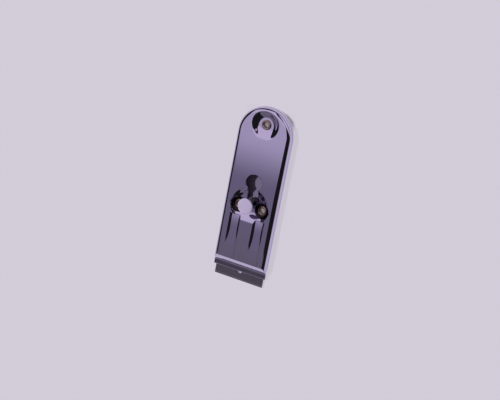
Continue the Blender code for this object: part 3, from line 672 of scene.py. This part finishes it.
def wear_group():
    """Group for handled metal: smears that dull it, fine scratches along the tool and faint unevenness."""
    group, given, place = new_group("handled_metal", {
        "Color": CHROME, "Roughness": 0.1, "Smears": 0.5, "Scratches": 0.5, "Grain": 400.0})
    smear = fade(group, noise(group, place, scale=55.0, detail=5.0, Distortion=0.8), *SMEAR_FADE)
    along = drawn(group, place, (1.0, 0.035, 1.0), turn=0.22)
    lines = fade(group, noise(group, along, scale=2600.0, detail=2.0), *SCRATCH_FADE)
    patches = fade(group, noise(group, place, scale=70.0, detail=2.0), *SCRATCHED_FADE)
    grain = noise(group, place, scale=given["Grain"], detail=3.0)
    dulled = product(group, smear, given["Smears"])
    scored = product(group, lines, patches, given["Scratches"])
    darker = scaled(group, dulled, 0.06, product(group, scored, 0.15))
    color = shaded(group, given["Color"], minus(group, 1.0, darker))
    rough = scaled(group, scored, 0.12, scaled(group, dulled, 0.10, given["Roughness"]))
    return give_out(group, Color=color, Roughness=rough, Height=minus(group, grain, scored))


HANDLED = wear_group()


def handled(group, given, smears, scratches):
    """Handled metal inside a group, in that group's colour and roughness."""
    inputs = {"Color": given["Color"], "Roughness": given["Roughness"], "Smears": smears,
              "Scratches": scratches}
    return node(group, "Group", inputs, node_tree=HANDLED).outputs


def cover_group():
    """Group for the cover: handled chrome, with black painted shade in the pockets round the two recess
    rivets.
    """
    group, given, place = new_group("cover_chrome", {"Color": CHROME, "Roughness": 0.04, "Pocket Shade": 0.94})
    worn = handled(group, given, smears=0.35, scratches=0.3)
    x, y, z = axes_of(group, place)
    # Painted shade: near the two recess rivets and low in the recess, the chrome is painted black and made
    # rougher
    aside = minus(group, math_node(group, "ABSOLUTE", x), RIVET_X)
    along = minus(group, y, FRONT_Y + RIVET_STATION)
    ragged = noise(group, place, scale=600.0, detail=3.0)
    away = scaled(group, ragged, POCKET_SHADE_RAGGED, span(group, aside, along))
    near = fade(group, away, POCKET_SHADE_REACH, POCKET_SHADE_REACH - POCKET_SHADE_FADE)
    low = fade(group, z, BODY_HEIGHT - POCKET_SHADE_TOP, BODY_HEIGHT - POCKET_SHADE_FULL)
    pocket_shade = product(group, near, low, given["Pocket Shade"])
    return give_out(group, Color=mix(group, pocket_shade, worn["Color"], POCKET_SHADE_COLOR),
                    Roughness=scaled(group, pocket_shade, 0.3, worn["Roughness"]), Height=worn["Height"])


def finish(name, group, bump, metallic=1.0, gloss=0.5):
    """Material whose colour, roughness and relief come from a group."""
    material = bpy.data.materials.new(name)
    material.use_nodes = True
    tree = material.node_tree
    shader = tree.nodes["Principled BSDF"].inputs
    shader["Metallic"].default_value = metallic
    shader["Specular IOR Level"].default_value = gloss
    effect = node(tree, "Group", node_tree=group).outputs
    for label, socket in (("Color", "Base Color"), ("Roughness", "Roughness"), ("Metallic", "Metallic")):
        if label in effect:
            tree.links.new(effect[label], shader[socket])
    relief = node(tree, "Bump", {"Height": effect["Height"], "Strength": bump, "Distance": RELIEF_DEPTH})
    tree.links.new(relief.outputs["Normal"], shader["Normal"])
    return material


def add_piece(name, mesh, body, material, sharp_angle=35):
    """Links a finished mesh as the piece that stands for a node, in one material. It may ride a body."""
    mesh.name = name + "_surface"
    mesh.shade_smooth()
    mesh.set_sharp_from_angle(angle=math.radians(sharp_angle))
    mesh.materials.clear()
    mesh.materials.append(material)
    piece = new_object(name + "_surface", mesh)
    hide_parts(name)
    if body:
        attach(piece, body)
    return piece


cover_mesh = cut(make_cover_mesh(), [keyhole_cutter()] + rivet_holes())
cover_finish = finish("cover_chrome", cover_group(), bump=0.012)
add_piece("top_cover", cover_mesh, "housing", cover_finish)


# Base shell: pressed sheet 0.8 mm thick, flat below, chrome plated outside and dull satin inside
# Its upturned wall meets the cover's skirt at the seam. A tongue runs forward under the blade, and a hollow
# boss stands under each rivet.
BASE_EDGE_RADIUS = 1.0 * MM
BASE_WALL_TOP = 2.7 * MM
TONGUE_END = NOSE_END + 0.7 * MM
FRONT_BOSS_TOP, FRONT_BOSS_RADIUS, FRONT_BOSS_LEAN = 2.3 * MM, 4.7 * MM, 0.7 * MM
REAR_BOSS_TOP, REAR_BOSS_RADIUS, REAR_BOSS_LEAN = 3.3 * MM, 7.0 * MM, 2.0 * MM
BOSS_CORNER, BOSS_RIM = 0.5 * MM, 0.3 * MM
BASE_EDGE_STEPS, BASE_LIP_STEPS = 9, 7
INSIDE_COLOR, INSIDE_FADE = (0.172, 0.145, 0.235, 1.0), (0.2, 0.5)


def boss_height(distance, top, radius, lean):
    """Rise of one boss over the floor: flat, then a slope with rounded corners."""
    rise = top - SHEET
    slope = (radius + lean - distance) * rise / lean
    return below(shallower(slope, np.full_like(slope, rise), BOSS_CORNER), BOSS_RIM)


def base_height(x, station):
    """Upper side of the base's floor with its bosses."""
    front = np.hypot(np.abs(x) - RIVET_X, station - RIVET_STATION)
    rear = np.hypot(x, station - DISH_STATION)
    rise = np.maximum(boss_height(front, FRONT_BOSS_TOP, FRONT_BOSS_RADIUS, FRONT_BOSS_LEAN),
                      boss_height(rear, REAR_BOSS_TOP, REAR_BOSS_RADIUS, REAR_BOSS_LEAN))
    return SHEET + rise


def make_base_mesh():
    """Base as one closed shell: underside, lower edge, outer wall, rim, inner wall and floor.

    The stretches of the mesh are finest at the bosses. Ahead of the side walls, the wall draws down into
    the flat tongue.
    """
    stations = spread(TONGUE_END, (-WALL_END_LENGTH, 1.2 * MM), (0.0, 0.07 * MM), (37.8 * MM, 1.2 * MM),
                      (50.6 * MM, 0.36 * MM), (97.8 * MM, 1.5 * MM), (END_STATION, 0.4 * MM))
    path = housing_path(stations)
    station = path[1][None, :]
    radius, inner = BASE_EDGE_RADIUS, BASE_EDGE_RADIUS - SHEET

    middle = spread(HALF_WIDTH, (radius, 0.42 * MM))[:-1]
    bend = np.linspace(math.pi / 2, 0, BASE_EDGE_STEPS)
    lip = np.linspace(0, math.pi, BASE_LIP_STEPS)[1:-1]
    wall = [BASE_WALL_TOP / 2, BASE_WALL_TOP - SHEET / 4]
    outer_inset = np.r_[middle, radius * (1 - np.cos(bend)), 0.0, 0.0]
    outer_z = np.r_[0 * middle, radius * (1 - np.sin(bend)), wall]
    rim_inset = SHEET / 2 * (1 - np.cos(lip))
    rim_z = BASE_WALL_TOP - SHEET / 4 * (1 - np.sin(lip))
    inner_inset = np.r_[SHEET, SHEET, radius - inner * np.cos(bend[::-1]), middle[::-1]]
    inner_z = np.r_[wall[::-1], radius - inner * np.sin(bend[::-1]), 0 * middle + SHEET]
    inset = np.r_[outer_inset, rim_inset, inner_inset][:, None]
    height = np.r_[outer_z, rim_z, inner_z][:, None] + 0 * station

    upper = (np.arange(len(inset)) >= len(outer_inset) + len(rim_inset))[:, None]
    floor = base_height(*inside_path(path, inset))
    under = sheet_underside(base_height, *inside_path(path, inset))
    height = np.where(inset > radius, np.where(upper, floor, np.maximum(under, 0)), height)
    in_front = np.clip(-station / WALL_END_LENGTH, 0, 1)
    height = height + in_front * (np.clip(height, 0, SHEET) - height)
    inset = inset + in_front * (np.maximum(inset, SHEET) - inset)
    return sheet_mesh("base", path, inset, height)


def facing_up(tree):
    """How far the surface faces up: 1 where it is level, 0 where it is upright."""
    return axes_of(tree, node(tree, "NewGeometry").outputs["Normal"])[2]


def satin_inside_group():
    """Group for the base: handled chrome outside, and dull grey satin on the faces that look up."""
    group, given, place = new_group("satin_inside", {
        "Color": CHROME, "Inside Color": INSIDE_COLOR, "Roughness": 0.05, "Inside Roughness": 0.85})
    worn = handled(group, given, smears=0.8, scratches=0.8)
    inside = fade(group, facing_up(group), *INSIDE_FADE)
    grain = noise(group, place, scale=900.0, detail=4.0)
    dull = shaded(group, given["Inside Color"], scaled(group, grain, 0.3, 0.85))
    rough = node(group, "MapRange", {"Value": inside, "To Min": worn["Roughness"],
                                     "To Max": given["Inside Roughness"]})
    return give_out(group, Color=mix(group, inside, worn["Color"], dull), Roughness=rough.outputs["Result"],
                    Height=worn["Height"], Metallic=minus(group, 1.0, inside))


base_mesh = cut(make_base_mesh(), rivet_holes())
base_finish = finish("base_chrome", satin_inside_group(), bump=0.05, gloss=0.05)
add_piece("base_shell", base_mesh, "housing", base_finish)


# Hollow rivets: coppered tubes 5 mm across with a 4 mm bore and a round flange 7.4 mm across at each end
# One stands in the dish and two in the recess. The plate is bright where it faces up and dull brown
# elsewhere.
RIVET_TUBE, RIVET_BORE, RIVET_FLANGE, RIVET_ROLL = 2.5 * MM, 2.0 * MM, 3.7 * MM, 0.6 * MM
FREE_GAP = 0.3 * MM
COPPER_BRIGHT, COPPER_DULL = (0.50, 0.33, 0.27, 1.0), (0.12, 0.07, 0.062, 1.0)
COPPER_FADE, ROLL_STEPS = (0.35, 1.05), 25


def arc_points(center, radii, start, end, count):
    """Points on part of an ellipse, from one angle in degrees to another."""
    turns = np.radians(np.linspace(start, end, count))
    return [(center[0] + radii[0] * math.cos(a), center[1] + radii[1] * math.sin(a)) for a in turns]


def rivet_profile(seat, foot):
    """Section of a hollow rivet: bore, rolled flange above, tube, and rolled flange below."""
    ring = (RIVET_BORE + RIVET_FLANGE) / 2
    wide = (RIVET_FLANGE - RIVET_BORE) / 2
    upper = arc_points((ring, seat), (wide, RIVET_ROLL), 180, 0, ROLL_STEPS)
    lower = arc_points((ring, foot), (wide, RIVET_ROLL), 0, -180, ROLL_STEPS)
    return upper + [(RIVET_TUBE, seat), (RIVET_TUBE, foot)] + lower


def copper_group():
    """Group for copper plate: bright where it faces up, brown below and on upright faces, with dark tarnish
    spots.
    """
    group, given, place = new_group("copper_plate", {
        "Bright": COPPER_BRIGHT, "Dull": COPPER_DULL, "Roughness": 0.22})
    tarnish = noise(group, place, scale=700.0, detail=4.0)
    # Share of bright copper: faces that look up are bright, the others dull brown, and the spots move the
    # border
    worn = fade(group, scaled(group, tarnish, 0.5, facing_up(group)), *COPPER_FADE)
    rough = scaled(group, minus(group, 1.0, worn), 0.25, given["Roughness"])
    return give_out(group, Color=mix(group, worn, given["Dull"], given["Bright"]), Roughness=rough,
                    Height=tarnish)


COPPER = finish("rivet_copper", copper_group(), bump=0.15)
for name, x, station in RIVETS:
    in_dish = name == "rear_rivet"
    seat = BODY_HEIGHT - (DISH_DEPTH if in_dish else RECESS_DEPTH + DIMPLE_DEPTH) + FREE_GAP
    foot = (REAR_BOSS_TOP if in_dish else FRONT_BOSS_TOP) - SHEET - FREE_GAP
    rivet_mesh = turned(name, rivet_profile(seat, foot), x, station)
    add_piece(name, rivet_mesh, "housing", COPPER)


# Blade: hardened strip 40 mm wide and 0.3 mm thick, dark, with a bright ground edge
# It reaches 15 mm forward of the side walls. A sight hole lies near the edge, and two holes take the studs.
BLADE_LOW, BLADE_HIGH = 1.1 * MM, 1.4 * MM
BLADE_HALF, BLADE_EDGE, BLADE_REAR, BLADE_GROUND = 20.0 * MM, -15.0 * MM, 7.0 * MM, 1.6 * MM
SIGHT_HOLE_STATION, SIGHT_HOLE = -7.8 * MM, 1.6 * MM
STUD_X, STUD_STATION, STUD_HOLE = 12.0 * MM, 3.5 * MM, 1.8 * MM
BLADE_COLOR, GROUND_COLOR = (0.42, 0.385, 0.45, 1.0), (0.62, 0.60, 0.66, 1.0)


def drawn_across(name, outline, half):
    """Closed mesh of a section of station and height points, drawn out across the tool."""
    return loft(name, [[(side * half, FRONT_Y + station, z) for station, z in outline] for side in (-1, 1)])


def stud_holes():
    """Cutters for the two studs."""
    return [round_hole(STUD_HOLE, side * STUD_X, STUD_STATION) for side in (-1, 1)]


def blade_group():
    """Group for blade steel: fine grinding lines, oil stains, and a bright band along the ground edge."""
    group, given, place = new_group("blade_steel", {
        "Color": BLADE_COLOR, "Edge Color": GROUND_COLOR, "Roughness": 0.28,
        "Edge Place": FRONT_Y + BLADE_EDGE + BLADE_GROUND})
    lines = noise(group, drawn(group, place, (0.02, 1.0, 1.0)), scale=5000.0, detail=3.0)
    stain = noise(group, place, scale=160.0, detail=5.0)
    edge = math_node(group, "LESS_THAN", axes_of(group, place)[1], given["Edge Place"])
    ground = mix(group, edge, given["Color"], given["Edge Color"])
    shade = scaled(group, stain, 0.26, scaled(group, lines, 0.30, 0.62))
    return give_out(group, Color=shaded(group, ground, shade),
                    Roughness=scaled(group, stain, 0.15, given["Roughness"]), Height=lines)


blade_outline = [(BLADE_EDGE, BLADE_LOW), (BLADE_REAR, BLADE_LOW), (BLADE_REAR, BLADE_HIGH),
                 (BLADE_EDGE + BLADE_GROUND, BLADE_HIGH)]
blade_mesh = cut(drawn_across("blade", blade_outline, BLADE_HALF),
                 [round_hole(SIGHT_HOLE, 0.0, SIGHT_HOLE_STATION)] + stud_holes())
blade_finish = finish("blade_steel", blade_group(), bump=0.1)
add_piece("blade", blade_mesh, "carriage", blade_finish, sharp_angle=4)


# Blade carrier and studs: zinc-plated plate 40 mm wide and 0.8 mm thick, with two headed studs
# The plate lies on the blade and steps down behind it, to run on the base. The studs hold the blade.
CARRIER_HEAD, CARRIER_TAIL, CARRIER_REAR = 1.7 * MM, 1.1 * MM, 21.5 * MM
CARRIER_STEP, CARRIER_STEP_END = 7.3 * MM, 8.3 * MM
SPRING_RIVET_STATIONS, SPRING_RIVET_HOLE = (11.052 * MM, 16.986 * MM), 1.3 * MM
STUD_RADIUS, STUD_HEAD_RADIUS, STUD_HEAD_HEIGHT = 1.5 * MM, 2.6 * MM, 0.6 * MM
PIN_CHAMFER, PIN_CROWN, PIN_STEPS = 0.1 * MM, 0.45, 13
ZINC_COLOR = (0.46, 0.45, 0.48, 1.0)


def spring_rivet_holes():
    """Cutters for the two small rivets of the leaf spring."""
    return [round_hole(SPRING_RIVET_HOLE, 0.0, station) for station in SPRING_RIVET_STATIONS]


def zinc_group():
    """Group for zinc plate: soft mottling in pale and darker grey, with small dull specks."""
    group, given, place = new_group("zinc_plate", {"Color": ZINC_COLOR, "Roughness": 0.34, "Size": 260.0})
    cells = node(group, "TexVoronoi", {"Vector": place, "Scale": given["Size"]})
    tone = node(group, "SeparateColor", {"Color": cells.outputs["Color"]}).outputs["Red"]
    cloud = noise(group, place, scale=120.0, detail=4.0)
    shade = scaled(group, cloud, 0.24, scaled(group, tone, 0.16, 0.78))
    return give_out(group, Color=shaded(group, given["Color"], shade),
                    Roughness=scaled(group, tone, 0.12, given["Roughness"]), Height=cloud)


def pin_mesh(name, x, station, radius, foot, seat, head_radius, head_height):
    """Headed pin with a low domed head and a small chamfer at its foot."""
    crown = head_height * PIN_CROWN
    dome = arc_points((0.0, seat + head_height - crown), (head_radius, crown), 0, 90, PIN_STEPS)
    profile = [(0.0, foot), (radius - PIN_CHAMFER, foot), (radius, foot + PIN_CHAMFER), (radius, seat),
               (head_radius, seat)]
    return turned(name, profile + dome, x, station, HOLE_STEPS)


carrier_low = [(0.0, CARRIER_HEAD), (CARRIER_STEP, CARRIER_HEAD), (CARRIER_STEP_END, CARRIER_TAIL),
               (CARRIER_REAR, CARRIER_TAIL)]
carrier_high = [(station, z + SHEET) for station, z in reversed(carrier_low)]
carrier_mesh = cut(drawn_across("carrier", carrier_low + carrier_high, BLADE_HALF),
                   stud_holes() + spring_rivet_holes())
ZINC = finish("carrier_zinc", zinc_group(), bump=0.2)
add_piece("blade_carrier", carrier_mesh, "carriage", ZINC, sharp_angle=20)
for name, side in (("blade_stud_left", -1), ("blade_stud_right", 1)):
    stud_mesh = pin_mesh(name, side * STUD_X, STUD_STATION, STUD_RADIUS, BLADE_LOW,
                         CARRIER_HEAD + SHEET + FREE_GAP, STUD_HEAD_RADIUS, STUD_HEAD_HEIGHT)
    add_piece(name, stud_mesh, "carriage", ZINC)


# Leaf spring: blued strip 7 mm wide and 0.3 mm thick, from the carrier back to the post
# Two small rivets fix its front end.
SPRING_LOW, SPRING_HIGH = 2.2 * MM, 2.5 * MM
SPRING_HALF, SPRING_FRONT, SPRING_END = 3.5 * MM, 8.6 * MM, 51.2 * MM
SPRING_STEPS, TAIL_STEPS, TAIL_TURN = 79, 23, 88
POST_HOLE = 1.6 * MM
SPRING_RIVET_RADIUS, SPRING_RIVET_HEAD, SPRING_RIVET_HEIGHT = 1.0 * MM, 1.9 * MM, 0.5 * MM
SPRING_BLUE, SPRING_GREY, TINT_FADE = (0.09, 0.11, 0.20, 1.0), (0.22, 0.21, 0.24, 1.0), (0.45, 0.95)


def blued_group():
    """Group for blued strip: dark blue to straw tints along it, with lengthwise rolling lines."""
    group, given, place = new_group("blued_steel", {
        "Blue": SPRING_BLUE, "Grey": SPRING_GREY, "Roughness": 0.28})
    lines = noise(group, drawn(group, place, (1.0, 0.03, 1.0)), scale=2500.0, detail=3.0)
    cloud = noise(group, place, scale=110.0, detail=3.0)
    tint = fade(group, scaled(group, lines, 0.35, cloud), *TINT_FADE)
    return give_out(group, Color=mix(group, tint, given["Blue"], given["Grey"]),
                    Roughness=scaled(group, lines, 0.15, given["Roughness"]), Height=lines)


def spring_mesh():
    """Strip as cross rows of four corners, from its straight front end round its half-round tail."""
    tail = SPRING_END - SPRING_HALF
    turns = np.radians(np.linspace(0, TAIL_TURN, TAIL_STEPS))
    straight = np.linspace(SPRING_FRONT, tail, SPRING_STEPS + 1)[:-1]
    y = FRONT_Y + np.r_[straight, tail + SPRING_HALF * np.sin(turns)]
    half = SPRING_HALF * np.r_[np.ones(SPRING_STEPS), np.cos(turns)]
    corners = ((1, SPRING_LOW), (1, SPRING_HIGH), (-1, SPRING_HIGH), (-1, SPRING_LOW))
    return loft("spring", np.stack([np.stack([side * half, y, np.full_like(y, z)], axis=-1)
                                    for side, z in corners], axis=1))


leaf_mesh = cut(spring_mesh(), spring_rivet_holes() + [round_hole(POST_HOLE, 0.0, KNOB_STATION)])
leaf_finish = finish("spring_blued", blued_group(), bump=0.1)
leaf = add_piece("leaf_spring", leaf_mesh, None, leaf_finish, sharp_angle=40)
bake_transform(leaf)
for name, station in zip(("spring_rivet_front", "spring_rivet_rear"), SPRING_RIVET_STATIONS):
    rivet_mesh = pin_mesh(name, 0.0, station, SPRING_RIVET_RADIUS, CARRIER_TAIL, SPRING_HIGH + FREE_GAP,
                          SPRING_RIVET_HEAD, SPRING_RIVET_HEIGHT)
    add_piece(name, rivet_mesh, "carriage", ZINC)


# Knob: turned steel post 5.2 mm thick, a collar 9 mm across under the slot, and a pale satin cap
# The cap is a flat disc 11.8 mm across with rounded edges on a short hub. The collar keeps the knob in.
CAP_RADIUS, CAP_LOW, CAP_HIGH, CAP_ROUND = 5.9 * MM, 14.4 * MM, 15.9 * MM, 0.35 * MM
HUB_RADIUS, HUB_LOW, CAP_BORE, CAP_BORE_TOP = 3.3 * MM, 12.8 * MM, 1.9 * MM, 14.9 * MM
POST_RADIUS, POST_LOW, POST_HIGH, POST_ROUND = 2.6 * MM, 3.6 * MM, 12.5 * MM, 0.2 * MM
SPIGOT_RADIUS, SPIGOT_HIGH, NECK_RADIUS = 1.6 * MM, 14.6 * MM, 1.3 * MM
COLLAR_LOW, COLLAR_HIGH, COLLAR_RADIUS, COLLAR_ROUND = 2.8 * MM, 3.3 * MM, 4.5 * MM, 0.15 * MM
COLLAR_BORE, ROUND_STEPS = NECK_RADIUS + FREE_GAP, 6
# Painted shade: the steel of the post and the collar is painted dark, for the shade on them under the cap
# and in the slot
KNOB_COLOR, CAP_COLOR = (0.20, 0.19, 0.22, 1.0), (0.53, 0.45, 0.66, 1.0)


def turned_group():
    """Group for turned steel: fine rings by height and by distance from the knob's axis, and smears."""
    group, given, place = new_group("turned_steel", {
        "Color": KNOB_COLOR, "Roughness": 0.12, "Rings": 9000.0, "Axis Place": FRONT_Y + KNOB_STATION})
    x, y, z = axes_of(group, place)
    reach = span(group, minus(group, y, given["Axis Place"]), x)
    rings = node(group, "TexNoise", {"W": math_node(group, "ADD", reach, z), "Scale": given["Rings"],
                                     "Detail": 2.0}, noise_dimensions="1D").outputs["Fac"]
    cloud = noise(group, place, scale=300.0, detail=3.0)
    return give_out(group, Color=shaded(group, given["Color"], scaled(group, rings, 0.10, 0.90)),
                    Roughness=scaled(group, cloud, 0.10, given["Roughness"]), Height=rings)


def satin_group():
    """Group for the cap's pale satin face: fine grain, faint stains and a few darker specks."""
    group, given, place = new_group("pale_satin", {"Color": CAP_COLOR, "Roughness": 0.5})
    grain = noise(group, place, scale=2200.0, detail=3.0)
    stain = noise(group, place, scale=260.0, detail=4.0)
    shade = scaled(group, stain, 0.10, scaled(group, grain, 0.10, 0.90))
    return give_out(group, Color=shaded(group, given["Color"], shade),
                    Roughness=scaled(group, stain, 0.15, given["Roughness"]), Height=grain)


def lower_edge(radius, z, rounding):
    """Rounded lower edge of a turned profile: a quarter turn out to the full radius."""
    return arc_points((radius - rounding, z + rounding), (rounding, rounding), -90, 0, ROUND_STEPS)


def upper_edge(radius, z, rounding):
    """Rounded upper edge of a turned profile: a quarter turn in from the full radius."""
    return arc_points((radius - rounding, z - rounding), (rounding, rounding), 0, 90, ROUND_STEPS)


collar_profile = [(COLLAR_BORE, COLLAR_LOW), *lower_edge(COLLAR_RADIUS, COLLAR_LOW, COLLAR_ROUND),
                  *upper_edge(COLLAR_RADIUS, COLLAR_HIGH, COLLAR_ROUND), (COLLAR_BORE, COLLAR_HIGH)]
post_profile = [(0.0, SPRING_LOW), (NECK_RADIUS, SPRING_LOW), (NECK_RADIUS, POST_LOW),
                *lower_edge(POST_RADIUS, POST_LOW, POST_ROUND),
                *upper_edge(POST_RADIUS, POST_HIGH, POST_ROUND), (SPIGOT_RADIUS, POST_HIGH),
                *upper_edge(SPIGOT_RADIUS, SPIGOT_HIGH, POST_ROUND), (0.0, SPIGOT_HIGH)]
cap_profile = [(0.0, CAP_BORE_TOP), (CAP_BORE, CAP_BORE_TOP), (CAP_BORE, HUB_LOW),
               *lower_edge(HUB_RADIUS, HUB_LOW, POST_ROUND), (HUB_RADIUS, CAP_LOW),
               *lower_edge(CAP_RADIUS, CAP_LOW, CAP_ROUND), *upper_edge(CAP_RADIUS, CAP_HIGH, CAP_ROUND),
               (0.0, CAP_HIGH)]
TURNED = finish("turned_steel", turned_group(), bump=0.1)
SATIN = finish("cap_satin", satin_group(), bump=0.1, metallic=0.15)
for name, profile, slot, material in (("lock_collar", collar_profile, "knob_steel", TURNED),
                                      ("knob_post", post_profile, "knob_steel", TURNED),
                                      ("knob_cap", cap_profile, "cap_satin", SATIN)):
    add_piece(name, turned(name, profile, 0.0, KNOB_STATION), "knob", material)
